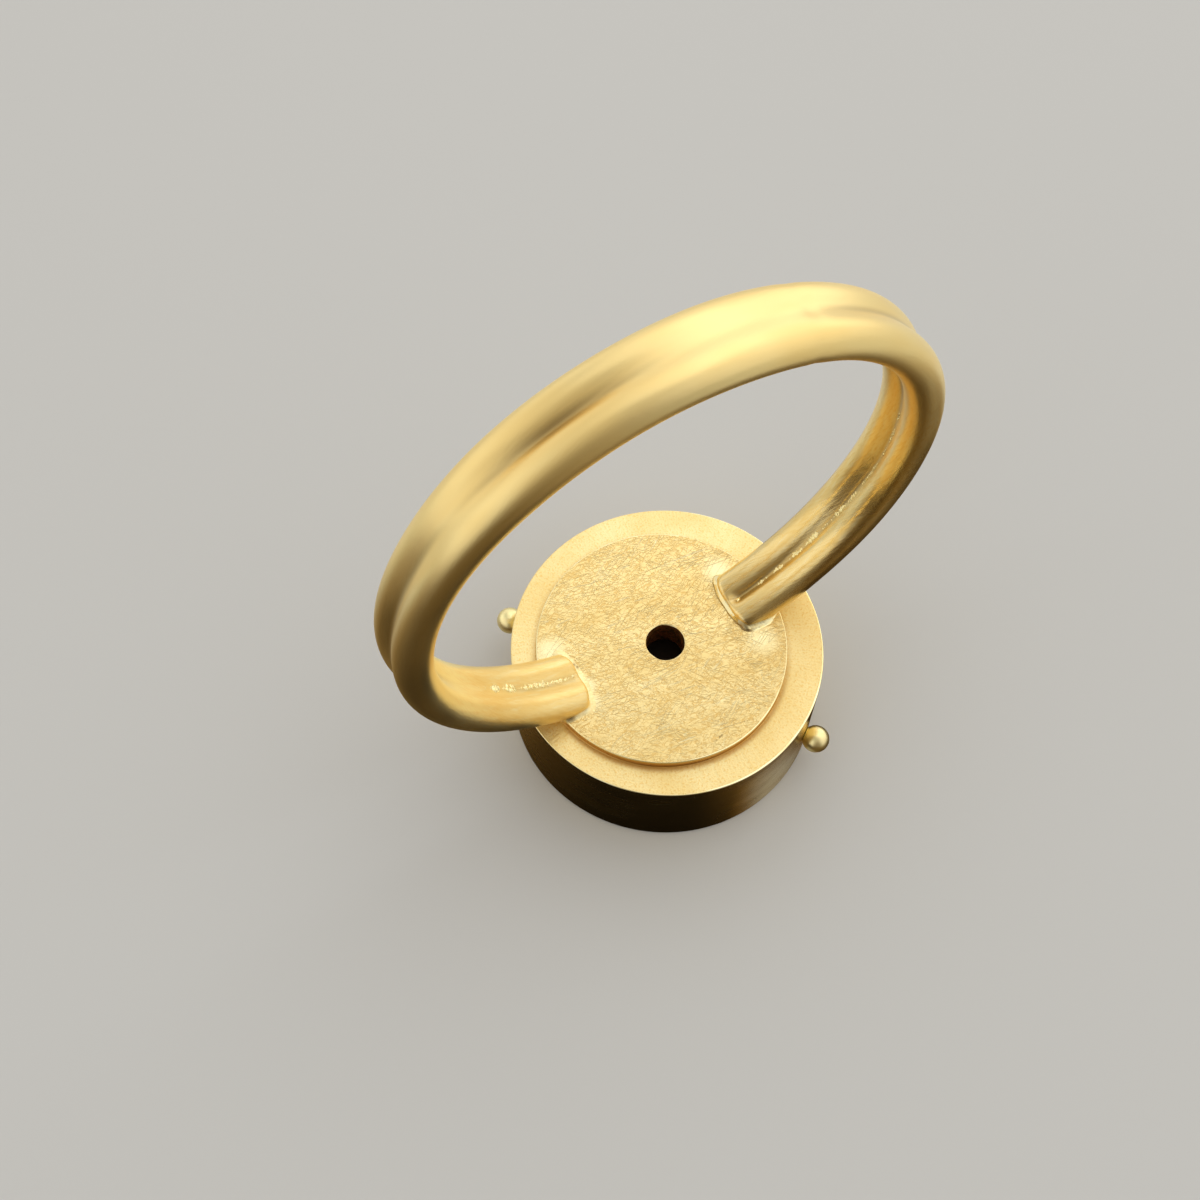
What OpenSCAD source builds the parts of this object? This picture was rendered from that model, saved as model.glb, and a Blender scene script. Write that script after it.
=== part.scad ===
// Finger ring of gold with an opal set in a shallow drum. It lies on the drum's front lip, with the shank
// standing up. X runs across the finger hole, Y along the finger and Z up. All lengths are in millimetres.

/* [Drum] */
// Outer radius of the drum at its back, where the rim is
drum_back_radius = 6.2; // [6:0.05:6.4]
// Outer radius of the drum at its front, a little wider
drum_front_radius = 6.33; // [6.25:0.01:6.5]
// Height of the drum from the front lip to the back rim
drum_height = 4.4; // [4.2:0.05:4.6]
// Thickness of the gold plate that closes the back of the drum
back_plate_thickness = 1; // [0.8:0.05:1.1]
// Bevel on the outer edge of the back rim
rim_bevel = 0.05; // [0.03:0.01:0.1]
// Bevel on the outer edge of the front lip
lip_bevel = 0.12; // [0.05:0.01:0.2]
// How far the drum's axis lies to the right of the shank's middle
drum_shift = 0.35; // [0:0.05:0.5]

/* [Stone] */
// Radius of the stone at its widest
stone_radius = 5.7; // [5.65:0.01:5.75]
// Full thickness of the stone
stone_thickness = 2; // [1.6:0.05:2.1]
// Height of the stone's low dome
dome_height = 0.67; // [0.5:0.01:0.8]
// How far the top of the dome lies behind the front of the lip
stone_recess = 0.08; // [0.05:0.01:0.15]
// Gap between the stone and the gold
stone_gap = 0.05; // [0.04:0.01:0.06]
// How far the lip reaches over the edge of the stone
lip_reach = 0.35; // [0.25:0.05:0.4]
// Width of the ledge that the stone's back sits on
seat_width = 0.6; // [0.4:0.05:0.8]

/* [Pad] */
// Radius of the raised round pad on the back plate
pad_radius = 4.95; // [4.8:0.05:5.05]
// Height of the pad over the back plate
pad_height = 0.4; // [0.3:0.05:0.45]
// How far the pad's middle lies to the left of the drum's axis
pad_shift = 0.24; // [0:0.02:0.3]
// Bevel on the top edge of the pad
pad_bevel = 0.05; // [0.02:0.01:0.1]
// Width and height of the line of solder round the pad's foot
pad_foot = 0.08; // [0.04:0.01:0.12]
// Diameter of the small hole through the pad and the back plate
hole_diameter = 1.5; // [1.2:0.1:1.8]
// Bevel round the mouth of the small hole
hole_bevel = 0.06; // [0.03:0.01:0.1]
// How far the small hole lies to the left of the drum's axis
hole_shift = 0.07; // [0:0.01:0.15]

/* [Shank] */
// Inside diameter of the finger hole
finger_diameter = 18; // [17.6:0.1:18.4]
// Diameter of each of the two round wires
wire_diameter = 1.33; // [1.2:0.01:1.4]
// Overlap of the two wires where they are fused side by side
wire_overlap = 0.03; // [0.02:0.01:0.06]
// Thickness of the solder seam that fills the groove between the wires
seam_thickness = 0.7; // [0.5:0.05:0.8]
// Height of the finger hole's centre over the front lip
shank_centre_height = 13.56; // [13.5:0.02:13.7]
// How far the shank lies back from the drum's axis
shank_shift = 0.22; // [0:0.02:0.3]
// Angle from straight down to the left end of the wires
left_end_angle = 22.6; // [21:0.2:24]
// Angle from straight down to the right end of the wires
right_end_angle = 21.2; // [21:0.2:24]

/* [Solder collars] */
// How far a collar spreads round its wire end
collar_spread = 0.3; // [0.2:0.05:0.35]
// Height of a collar over the pad
collar_height = 0.3; // [0.2:0.05:0.35]
// Radius of a collar's top as a share of the wire's radius
collar_top_share = 0.6; // [0.4:0.05:0.8]

/* [Granules] */
// Diameter of each granule
granule_diameter = 1.1; // [1:0.05:1.2]
// Height of the granules' centres over the front lip
granule_height = 1.95; // [1.6:0.05:2.4]
// How deep a granule sinks into the drum wall
granule_sink = 0.06; // [0.04:0.01:0.1]
// Angle round the drum of the granule at the front right
first_granule_angle = -54.8; // [-70:0.2:-40]
// Angle round the drum of the granule at the back left
second_granule_angle = 132.1; // [120:0.2:145]
// Diameter of the solder spot that holds each granule
solder_spot_diameter = 0.7; // [0.5:0.05:0.8]
// How deep the solder spot reaches into the drum wall
solder_spot_depth = 0.2; // [0.1:0.05:0.2]

/* [Part] */
// The piece to build, or all of them

/* [Hidden] */
$fn = 128;
gold = [0.86, 0.66, 0.33];
opal_tint = [0.75, 0.84, 0.86];
wire_radius = wire_diameter / 2;
wire_side = wire_radius - wire_overlap / 2;
shank_radius = finger_diameter / 2 + wire_radius;
collar_radius = shank_radius + wire_radius / 2;
seam_half_width = 0.24;
pad_top = drum_height + pad_height;
hollow_top = drum_height - back_plate_thickness;
recess_radius = stone_radius + stone_gap;
seat_radius = recess_radius - seat_width;
lip_radius = recess_radius - lip_reach;
stone_back = stone_recess + stone_thickness;
seat_height = stone_back + stone_gap;
dome_radius = (stone_radius * stone_radius + dome_height * dome_height) / (2 * dome_height);
stone_facets = 360;
lip_flare = 0.25;
lip_land_radius = lip_radius + lip_flare;
pad_x = drum_shift - pad_shift;
hole_x = drum_shift - hole_shift;
cut_margin = 1;

// Height of the stone's domed face over the lip's front at a distance r from its middle
function dome_face(r) = stone_recess + dome_radius - sqrt(dome_radius * dome_radius - r * r);

// Outer radius of the drum at a height z
function wall_radius(z) = drum_front_radius + (drum_back_radius - drum_front_radius) * z / drum_height;

// Drum wall, front lip, seat and back plate, turned in one piece
module drum_shell() {
    translate([drum_shift, 0, 0])
    rotate_extrude()
    polygon([
        [0, hollow_top],
        [seat_radius, hollow_top],
        [seat_radius, seat_height],
        [recess_radius, seat_height],
        [recess_radius, dome_face(stone_radius) - stone_gap],
        [lip_radius, dome_face(lip_radius) - stone_gap],
        [lip_radius, lip_flare],
        [lip_land_radius, 0],
        [drum_front_radius - lip_bevel, 0],
        [wall_radius(lip_bevel), lip_bevel],
        [wall_radius(drum_height - rim_bevel), drum_height - rim_bevel],
        [drum_back_radius - rim_bevel, drum_height],
        [0, drum_height]
    ]);
}

// Raised round pad on the back plate, a little off the drum's axis
module pad() {
    translate([pad_x, 0, drum_height])
    rotate_extrude()
    polygon([
        [0, -back_plate_thickness / 2],
        [pad_radius + pad_foot, -back_plate_thickness / 2],
        [pad_radius + pad_foot, 0],
        [pad_radius, pad_foot],
        [pad_radius, pad_height - pad_bevel],
        [pad_radius - pad_bevel, pad_height],
        [0, pad_height]
    ]);
}

// Small hole through the pad and the back plate, with a bevelled mouth
module back_hole() {
    translate([hole_x, 0, hollow_top - cut_margin])
    cylinder(d = hole_diameter, h = pad_top - hollow_top + 2 * cut_margin);
    translate([hole_x, 0, pad_top - hole_bevel])
    cylinder(d1 = hole_diameter, d2 = hole_diameter + 4 * hole_bevel, h = 2 * hole_bevel);
}

// Sweeps a flat profile round the finger hole, from the right end up and over to the left end
module round_the_finger() {
    translate([0, shank_shift, shank_centre_height])
    rotate([90, 0, 0])
    rotate([0, 0, right_end_angle - 90])
    rotate_extrude(angle = 360 - left_end_angle - right_end_angle)
    translate([shank_radius, 0])
    children();
}

// One round wire of the shank, on the side given as -1 or 1
module shank_wire(side) {
    round_the_finger()
    translate([0, side * wire_side])
    circle(d = wire_diameter);
}

// Solder that fills the groove between the two wires, inside and outside
module solder_seam() {
    round_the_finger()
    square([seam_thickness, 2 * seam_half_width], center = true);
}

// Cone of solder round one wire end, at a distance x from the middle and on one side
module solder_collar(x, side) {
    translate([x, shank_shift + side * wire_side, drum_height])
    cylinder(r1 = wire_radius + collar_spread, r2 = wire_radius * collar_top_share, h = pad_height + collar_height);
}

// The four collars that join the wire ends to the pad
module solder_collars() {
    left_x = -collar_radius * sin(left_end_angle);
    right_x = collar_radius * sin(right_end_angle);
    for (side = [-1, 1]) {
        solder_collar(left_x, side);
        solder_collar(right_x, side);
    }
}

// Granule on the drum wall at an angle round it, with its spot of solder
module granule(angle) {
    reach = wall_radius(granule_height) + granule_diameter / 2 - granule_sink;
    translate([drum_shift, 0, granule_height])
    rotate([0, 0, angle]) {
        translate([reach, 0, 0])
        sphere(d = granule_diameter);
        translate([reach - granule_diameter / 2 - solder_spot_depth, 0, 0])
        rotate([0, 90, 0])
        cylinder(d = solder_spot_diameter, h = granule_diameter / 2);
    }
}

// All the soldered gold as one solid
module gold_ring() {
    color(gold)
    difference() {
        union() {
            drum_shell();
            pad();
            shank_wire(-1);
            shank_wire(1);
            solder_seam();
            solder_collars();
            granule(first_granule_angle);
            granule(second_granule_angle);
        }
        back_hole();
    }
}

// Stone with a low dome at the front and a flat back
module opal() {
    color(opal_tint)
    translate([drum_shift, 0, 0])
    intersection() {
        translate([0, 0, stone_recess])
        cylinder(r = stone_radius, h = stone_thickness);
        translate([0, 0, stone_recess + dome_radius])
        sphere(r = dome_radius, $fn = stone_facets);
    }
}

gold_ring();
opal();
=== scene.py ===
"""Looks of a gold ring with an opal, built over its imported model.

The ring lies on the front lip of its drum with the shank standing up. Lengths are in millimetres
until a mesh is made, and X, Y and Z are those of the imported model.
"""

import bpy
import numpy as np
from mathutils import Matrix, Vector


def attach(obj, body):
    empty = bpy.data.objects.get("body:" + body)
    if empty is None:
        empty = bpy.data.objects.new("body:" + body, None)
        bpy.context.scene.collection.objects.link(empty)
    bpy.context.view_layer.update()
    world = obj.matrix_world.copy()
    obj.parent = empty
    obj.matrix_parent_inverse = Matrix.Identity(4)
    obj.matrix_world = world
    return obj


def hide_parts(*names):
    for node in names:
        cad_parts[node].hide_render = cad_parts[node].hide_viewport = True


MM = 0.001

# Drum
DRUM_X = 0.35
DRUM_BACK_RADIUS = 6.2
DRUM_FRONT_RADIUS = 6.33
DRUM_TOP = 4.4
HOLLOW_TOP = 3.4
SEAT_RADIUS = 5.15
SEAT_HEIGHT = 2.13
RECESS_RADIUS = 5.75
LIP_RADIUS = 5.4
LIP_UNDERSIDE = 0.64
LIP_FACE = 0.2
LIP_SLOPE = 0.25

# Radii of the drum's edges
FINE_EDGE = 0.03
SEAT_EDGE = 0.04
RIM_EDGE = 0.045
LIP_BACK_EDGE = 0.06
HOLLOW_EDGE = 0.1
FRONT_EDGE = 0.13
LIP_EDGE = 0.14

# How far the drum's wall leans out, at what turn back from +X in radians, and how far it wanders
WALL_LEAN = 0.03
WALL_LEAN_SIDE = 0.9
WALL_WANDER = 0.012

# Pad and hole
PAD_X = 0.11
PAD_RADIUS = 4.95
PAD_TOP = 4.8
PAD_SUNK = 0.2
PAD_FOOT = 0.1
PAD_FOOT_EDGE = 0.09
PAD_FOOT_THIN = 0.002
PAD_HIDDEN_EDGE = 0.02
PAD_EDGE = 0.045
PAD_WANDER = 0.012
HOLE_X = 0.28
HOLE_RADIUS = 0.75
HOLE_EDGE = 0.07
HOLE_WANDER = 0.018
HOLE_STEP = 0.015

# Looks of drum and pad by number, and how far a look reaches past a corner
RIM_LOOK, WALL_LOOK, INSIDE_LOOK, HOLE_LOOK, EDGE_LOOK = range(5)
PAD_LOOK, PAD_HOLE_LOOK, PAD_EDGE_LOOK, PAD_SIDE_LOOK = range(4)
WALL_MARGIN = 0.06
MARGIN = 0.02
EDGE_DEPTH = 0.05
FLATNESS = 0.001

# Longer scratches and a scuff on the pad: middle, turn, half length and half width
PAD_SCRATCHES = (
    ((-0.75, -1.27), 2, 1.25, 0.022),
    ((-0.35, -1.16), 5, 0.8, 0.016),
    ((1.3, 2.2), 24, 0.9, 0.014),
)
PAD_SCUFF = ((0.07, -4.45), 14, 0.3, 0.07)

# Brush strokes and finer scratches of the pad: turn, waves in a millimetre along and across, thickness
BRUSH_STROKES = ((6, 1.3, 6.0, 0.045), (-24, 1.5, 6.2, 0.042), (34, 1.6, 6.4, 0.038), (75, 2.2, 6.4, 0.03))
FINE_SCRATCHES = ((7, 0.22, 3.4, 0.014), (-31, 0.3, 3.0, 0.009), (52, 0.35, 3.2, 0.008))

# Stone
STONE_RADIUS = 5.7
STONE_FRONT = 0.08
STONE_BACK = 2.08
DOME_HEIGHT = 0.67
DOME_RADIUS = (STONE_RADIUS**2 + DOME_HEIGHT**2) / (2 * DOME_HEIGHT)
DOME_EDGE = 0.12

# The stone's girdle as (radius less than the stone's, height over the dome's edge), and its back as
# (radius less than the stone's, depth under the back face), which is dark from a height on
GIRDLE = ((0.05, 0.03), (0.01, 0.09), (0, 0.2))
BACK_EDGE = ((0, 0.48), (0, 0.14), (0.02, 0.05), (0.08, 0.01), (0.16, 0))
BACK_RINGS = (5.4, 3, 1.5, 0)
DARK_BACK = 1.9

# Shank of two round wires; angles are in degrees from straight down, positive towards +X
SHANK_Y = 0.22
SHANK_Z = 13.56
SHANK_RADIUS = 9.665
WIRE_RADIUS = 0.665
WIRE_SIDE = 0.65
RIGHT_END = 21.2
LEFT_END = 360 - 22.6
TIP_ROUND = 0.22
SIDE_CHANGE = 0.3

# Swellings of the wires, and solder in the groove outside and inside: middle and reach along the
# shank, and height as a share of the wire or as reach of the solder
SWELLINGS = ((172, 26, 0.05), (238, 26, -0.07), (157, 2.4, -0.022))
OUTER_FILL = 0.66
OUTER_FILLS = ((166, 24, 0.22), (229, 14, 0.22), (203, 19, -0.3), (258, 18, -0.12))
INNER_FILL = 0.5
INNER_FILLS = ((25, 40, -0.24), (330, 45, 0.12), (300, 26, 0.3))

# Solder that closes the groove before the wire ends, and the rounded outline of the ends
TIP_FILL = 0.8
TIP_FILL_START = 0.7
TIP_FILL_END = 0.1
END_OVER = 0.02
END_BULGE = 0.15
END_LENGTH = 8

# Darker groove, and painted shade on a stretch outside, on the right leg's front flank and at its end:
# share, then middle and reach along and across the shank
GROOVE_DARKENING = 0.45
GROOVE_HALF = 0.28
LINE_PAINTED_SHADE = (0.75, (204, 20), (0.05, 0.22))
FLANK_PAINTED_SHADE = (0.3, (46, 34), (-1.31, 0.24))
END_PAINTED_SHADE = (0.7, (RIGHT_END, 4.5), (-1.15, 0.32))

# The flank's painted shade moves inward by this much for each degree past where it starts
FLANK_START = 33
FLANK_DRIFT = 0.0117
FLANK_TOP = 0.15

# Solder of each wire end: leg of its collar, reach of the shallow flare before it, and reach of the
# cup at its front side
LEFT_SOLDER = (0.14, 0.45, 0.24)
RIGHT_SOLDER = (0.24, 0.12, 0.3)
THIN_SOLDER = 0.06
COLLAR_BEHIND = 0.2
COLLAR_WIDTH = 0.72
COLLAR_EDGE = 0.02
FLARE_SLOPE = 3
PLATE_EDGE = 0.05
FILLET_INSET = 0.012
FILLET_STEP = 0.034
WIRE_CLEAR = 0.02
# Where each skin of solder ends: distance behind the wire end, and half its length and width
SOLDER_MIDDLE = 0.3
SOLDER_HALF = (1.35, 1.95)
# Box round each solder: half length and width, reach under and over the back plate, and what it
# reaches further outward; and how far the solder sinks into the plate
SOLDER_BOX = ((1.1, 2.1), (0.2, 1.6), 0.6)
SOLDER_SUNK = 0.1
# Dark pits in the solder, the two larger ones painted shade in front of the wires: middle and reach
SOLDER_PITS_AND_SHADES = (((-3.33, 0.85), 0.09), ((-3.27, 0.7), 0.1), ((-4.5, -1.05), 0.28), ((3.24, -0.88), 0.42))

# Crumbly line in the groove: how deep it sits, its height and what a lump adds, and how rough it is
SEAM_SUNK = 0.03
SEAM_HEIGHT = 0.045
SEAM_LUMP = 0.03
SEAM_STEP = 0.14
SEAM_SIDES = 20
SEAM_ROUGH = (0.3, 0.12)
SEAM_SHIFT = 0.04

# Places on the pad that were rubbed bright beside the solder: middle and reach
RUBBED = (
    ((3.7, 1.75), 0.9),
    ((3.75, -1.75), 0.9),
    ((-3.9, 1.8), 0.9),
    ((-3.3, -0.2), 0.5),
    ((-3.45, -0.9), 0.5),
)

# Granules on the drum wall
GRANULE_RADIUS = 0.55
GRANULE_HEIGHT = 1.95
GRANULE_SINK = 0.06
GRANULE_ANGLES = (-54.8, 132.1)
# Neck of solder as (across, height over the wall), and the slope in degrees where the ball starts
GRANULE_NECK = ((0, -0.2), (0.4, -0.2), (0.4, -0.02), (0.34, 0.01), (0.3, 0.03))
BALL_START = -58

# Seeds of wandering lines and crumbs
RIM_SEED, HOLE_SEED, PAD_SEED = 4, 11, 12
SWELL_SEED, OUTER_SEED, INNER_SEED = 21, 22, 23
SOLDER_SEEDS = (31, 32)
CRUMB_SEED, CLUMP_SEED = 41, 43

# Camera, from the photograph's viewing angle
CAMERA_PLACE = (-12.957, -18.325, 53.751)
CAMERA_RIGHT = (0.87856, -0.4776, 0.00624)
CAMERA_UP = (0.42551, 0.78853, 0.44402)
CAMERA_BACK = (-0.21698, -0.38745, 0.89599)
CAMERA_LENS = 41.06
CAMERA_SENSOR = 36

# Light round the ring, and soft patches of other light in it: azimuth and height of each patch,
# its inner and outer reach, all in degrees, its colour and how strongly it shows
SKY_LIGHT = (0.96, 0.96, 0.95)
SKY_PATCHES = (
    (12, 42, 18, 58, (1.16, 1.16, 1.13), 1.0),
    (150, 12, 10, 42, (1.12, 1.12, 1.09), 0.8),
    (105, 50, 8, 32, (0.64, 0.63, 0.6), 0.85),
    (132, 72, 10, 34, (0.56, 0.55, 0.52), 0.85),
    (-120, 55, 10, 38, (0.36, 0.33, 0.27), 0.8),
    (-110, 10, 12, 45, (0.15, 0.11, 0.055), 0.92),
)
BACKDROP = (0.62, 0.61, 0.6)

# Softboxes: place, size and brightness, and the point that they face
KEY_BOX = ((46, 56, 176), (200, 200), 0.37)
SIDE_BOX = ((170, 75, 62), (120, 80), 0.4)
BOX_AIM = (0, 0, 5)

# Floor as the camera sees it and as the gold mirrors it, with painted light towards one side
FLOOR_HALF = 1500
FLOOR_COLOUR = (0.6, 0.59, 0.57)
FLOOR_BRIGHT_SIDE = (0.766, 0.643, 0)
FLOOR_BRIGHTNESS = (0.12, 0.8)
FLOOR_DIM_TINT = (1, 0.62, 0.17)
FLOOR_LIT_TINT = (0.97, 0.98, 0.94)

# Painted shade on the floor in the gold: middle, stretch of the axes, where the shade ends and full
# light starts, and what is left of the light; and one place of painted light by the drum
FLOOR_SHADES = (
    ((12, -4, 0), (1, 1.2, 0), 6, 22, 0.08),
    ((26, -9, 0), (1, 1, 0), 3, 10, 0.45),
    ((-4.5, -6.5, 0), (1, 1, 0), 2.5, 6.5, 0.15),
    ((-22, -4, 0), (1, 1, 0), 6, 34, 0.3),
    ((0, -21, 0), (0.7, 1, 0), 3, 13, 0.35),
)
FLOOR_LIGHT = ((2.4, -5.4, 0), 0.8, 3.2, 0.52)

# Colours of the gold
BRIGHT_GOLD = (0.98, 0.8, 0.4)
PALE_GOLD = (0.96, 0.745, 0.33)
WARM_GOLD = (0.94, 0.69, 0.27)
DEEP_GOLD = (0.86, 0.55, 0.14)
DULL_GOLD = (0.66, 0.47, 0.2)
RUBBED_GOLD = (1.0, 0.91, 0.56)
# Paler gold painted as reflection inside the left bend
BEND_REFLECTION_GOLD = (1.0, 0.88, 0.5)
STROKE_GOLD = (0.74, 0.47, 0.14)
# Wall colours, painted darker than the rest of the gold as shade
SHADED_WALL_GOLD = (0.82, 0.62, 0.27)
SHADED_WALL_BROWN = (0.6, 0.41, 0.14)
GRANULE_GOLD = (1.0, 0.88, 0.44)
COLLAR_GOLD = (0.84, 0.75, 0.44)
# Gold of the hole, painted dark as shade
HOLE_SHADE_GOLD = (0.85, 0.36, 0.11)
# Brown painted as shade and reflection at the pad's foot
PAINTED_FOOT_SHADE = (0.5, 0.25, 0.05)
# Dark brown of real scuffs and pits, also used for painted shade
TARNISH_AND_SHADE_BROWN = (0.16, 0.085, 0.025)

# Colours of the stone
OPAL_MILK = (0.72, 0.82, 0.85)
OPAL_PLAY = (
    (0.12, (0.05, 0.2, 0.55)),
    (0.3, (0.04, 0.5, 0.6)),
    (0.46, (0.1, 0.65, 0.32)),
    (0.6, (0.6, 0.75, 0.25)),
    (0.74, (0.95, 0.45, 0.12)),
    (0.9, (0.5, 0.25, 0.7)),
)
OPAL_DARK = (0.02, 0.014, 0.01)
OPAL_BROWN = (0.07, 0.05, 0.035)

# Shapes


def smooth_step(low, high, value):
    """Rises smoothly from 0 at low to 1 at high."""
    t = np.clip((np.asarray(value, float) - low) / (high - low), 0, 1)
    return t * t * (3 - 2 * t)


def bump_at(value, middle, width):
    """1 at the middle and smoothly down to 0 at width on both sides."""
    return 1 - smooth_step(0, width, np.abs(np.asarray(value, float) - middle))


def bumps(value, table):
    """Sum of smooth bumps, each with its middle, its width and its height."""
    return sum(height * bump_at(value, middle, width) for middle, width, height in table)


def wander(value, seed):
    """A smooth wandering line between about -1 and 1, from five waves."""
    rng = np.random.default_rng(seed)
    total = 0
    for _ in range(5):
        total = total + np.sin(value * rng.uniform(0.5, 1.6) + rng.uniform(0, 6.28))
    return total / np.sqrt(10)


def soft_union(first, second, reach):
    """The union of two distance fields with a hollow fillet of the given reach."""
    share = np.maximum(reach - np.abs(first - second), 0) / reach
    return np.minimum(first, second) - share * share * reach / 4


def round_cut(first, second, radius):
    """The overlap of two distance fields with its edge rounded to a radius."""
    a = first + radius
    b = second + radius
    return np.hypot(np.maximum(a, 0), np.maximum(b, 0)) + np.minimum(np.maximum(a, b), 0) - radius


def shown(name, data):
    """A new object in the scene for a mesh, a light or a camera."""
    thing = bpy.data.objects.new(name, data)
    bpy.context.scene.collection.objects.link(thing)
    return thing


def piece(name, points, faces, materials, looks=None, grain=None, dark_marks_and_shade=None):
    """A mesh piece on the root body, from points in millimetres."""
    mesh = bpy.data.meshes.new(name)
    mesh.from_pydata((np.asarray(points) * MM).tolist(), [], [list(map(int, f)) for f in faces])
    mesh.validate()
    for look in materials:
        mesh.materials.append(look)
    if looks is not None:
        mesh.polygons.foreach_set("material_index", np.asarray(looks, np.int32))
    layers = (("grain", "FLOAT_VECTOR", "vector", grain), ("dark_marks_and_shade", "FLOAT", "value", dark_marks_and_shade))
    for key, kind, field, values in layers:
        if values is not None:
            layer = mesh.attributes.new(key, kind, "POINT")
            layer.data.foreach_set(field, np.asarray(values, np.float32).ravel())
    mesh.shade_smooth()
    thing = shown(name, mesh)
    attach(thing, "root")
    return thing


def rounded_line(corners, steps=4, guard=0.03):
    """A line through corners of (across, height, radius), each rounded, with guard points beside it."""
    corners = [np.array(c, float) for c in corners]
    line = []
    for before, here, after in zip([corners[-1]] + corners[:-1], corners, corners[1:] + corners[:1]):
        come = before[:2] - here[:2]
        go = after[:2] - here[:2]
        come_length = np.linalg.norm(come)
        go_length = np.linalg.norm(go)
        come = come / come_length
        go = go / go_length
        half = np.arccos(np.clip(come @ go, -1, 1)) / 2
        back = min(here[2] / np.tan(half), 0.45 * come_length, 0.45 * go_length)
        start = here[:2] + back * come
        end = here[:2] + back * go
        if come_length > 4 * (back + guard):
            line.append(start + guard * come)
        for t in np.linspace(0, 1, steps + 1):
            line.append((1 - t) ** 2 * start + 2 * t * (1 - t) * here[:2] + t * t * end)
        if go_length > 4 * (back + guard):
            line.append(end + guard * go)
    return np.array(line)


def spun(line, middle, sides=256, uneven=None, closed=True):
    """Points and faces of a line of (across, height) turned round the Z axis through x = middle(across)."""
    turn = np.linspace(0, 2 * np.pi, sides, endpoint=False)
    across = line[:, :1] + 0 * turn
    height = line[:, 1:] + 0 * turn
    if uneven is not None:
        across = uneven(across, turn + 0 * across)
    points = np.stack([middle(across) + across * np.cos(turn), across * np.sin(turn), height], -1)
    rows = len(line)
    index = np.arange(rows * sides).reshape(rows, sides)
    below = index if closed else index[:-1]
    above = np.roll(index, -1, 0) if closed else index[1:]
    return points.reshape(-1, 3), ring_faces(below, above)


def ring_faces(below, above):
    """Four-sided faces between two stacks of rings of point numbers."""
    return np.stack([below, np.roll(below, -1, 1), np.roll(above, -1, 1), above], -1).reshape(-1, 4)


def fans(first, first_ring, last, last_ring):
    """Faces that close both ends of a tube, each from a point in its middle."""
    made = [(first, b, a) for a, b in zip(first_ring, np.roll(first_ring, -1))]
    return made + [(last, a, b) for a, b in zip(last_ring, np.roll(last_ring, -1))]


# Drum and pad


def drum_outline():
    """Corners of the drum's section as (across, height, radius of the edge)."""
    wide_hole = HOLE_RADIUS + HOLE_STEP
    return [
        (wide_hole, HOLLOW_TOP, FINE_EDGE),
        (SEAT_RADIUS, HOLLOW_TOP, HOLLOW_EDGE),
        (SEAT_RADIUS, SEAT_HEIGHT, SEAT_EDGE),
        (RECESS_RADIUS, SEAT_HEIGHT, SEAT_EDGE),
        (RECESS_RADIUS, LIP_UNDERSIDE + LIP_BACK_EDGE, FINE_EDGE),
        (LIP_RADIUS, LIP_UNDERSIDE, LIP_BACK_EDGE),
        (LIP_RADIUS, LIP_FACE, LIP_EDGE),
        (LIP_RADIUS + LIP_SLOPE, 0, LIP_EDGE),
        (DRUM_FRONT_RADIUS, 0, FRONT_EDGE),
        (DRUM_BACK_RADIUS, DRUM_TOP, RIM_EDGE),
        (wide_hole, DRUM_TOP, FINE_EDGE),
    ]


def drum(materials):
    """Drum wall, rim, front lip, seat and back plate, turned in one piece."""

    def uneven(across, turn):
        outer = smooth_step(5.9, 6.1, across)
        lean = WALL_LEAN * np.cos(turn + WALL_LEAN_SIDE)
        return across + outer * (lean - WALL_WANDER * (0.5 + 0.5 * wander(turn * 3, RIM_SEED)))

    def middle(across):
        return HOLE_X + (DRUM_X - HOLE_X) * smooth_step(0.8, 2.5, across)

    points, faces = spun(rounded_line(drum_outline()), middle, uneven=uneven)
    flat = points[faces].mean(1)
    height = flat[:, 2]
    across = np.hypot(flat[:, 0] - DRUM_X, flat[:, 1])
    hole = np.hypot(flat[:, 0] - HOLE_X, flat[:, 1]) < HOLE_RADIUS + FINE_EDGE
    looks = np.full(len(faces), RIM_LOOK)
    looks[(across > DRUM_BACK_RADIUS - WALL_MARGIN) & (height < DRUM_TOP - FINE_EDGE)] = WALL_LOOK
    looks[(across < RECESS_RADIUS + MARGIN) & (height < DRUM_TOP - EDGE_DEPTH)] = INSIDE_LOOK
    looks[hole] = HOLE_LOOK
    looks[(across > DRUM_BACK_RADIUS - RIM_EDGE) & (height > DRUM_TOP - RIM_EDGE)] = EDGE_LOOK
    from_axis = points - [DRUM_X, 0, 0]
    away = np.hypot(from_axis[:, 0], from_axis[:, 1])
    side = DRUM_BACK_RADIUS * from_axis[:, :2] / away[:, None]
    grain = np.hstack([side, (away - points[:, 2])[:, None]])
    return piece("drum", points, faces, materials, looks, grain)


def pad_outline():
    """Corners of the pad's section as (across, height, radius of the edge), with solder at its foot."""
    bottom = DRUM_TOP - PAD_SUNK
    return [
        (HOLE_RADIUS, bottom, PAD_HIDDEN_EDGE),
        (PAD_RADIUS + PAD_FOOT, bottom, PAD_HIDDEN_EDGE),
        (PAD_RADIUS + PAD_FOOT, DRUM_TOP - 2 * PAD_FOOT_THIN, PAD_FOOT_THIN),
        (PAD_RADIUS, DRUM_TOP, PAD_FOOT_EDGE),
        (PAD_RADIUS, PAD_TOP, PAD_EDGE),
        (HOLE_RADIUS, PAD_TOP, HOLE_EDGE),
    ]


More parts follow.
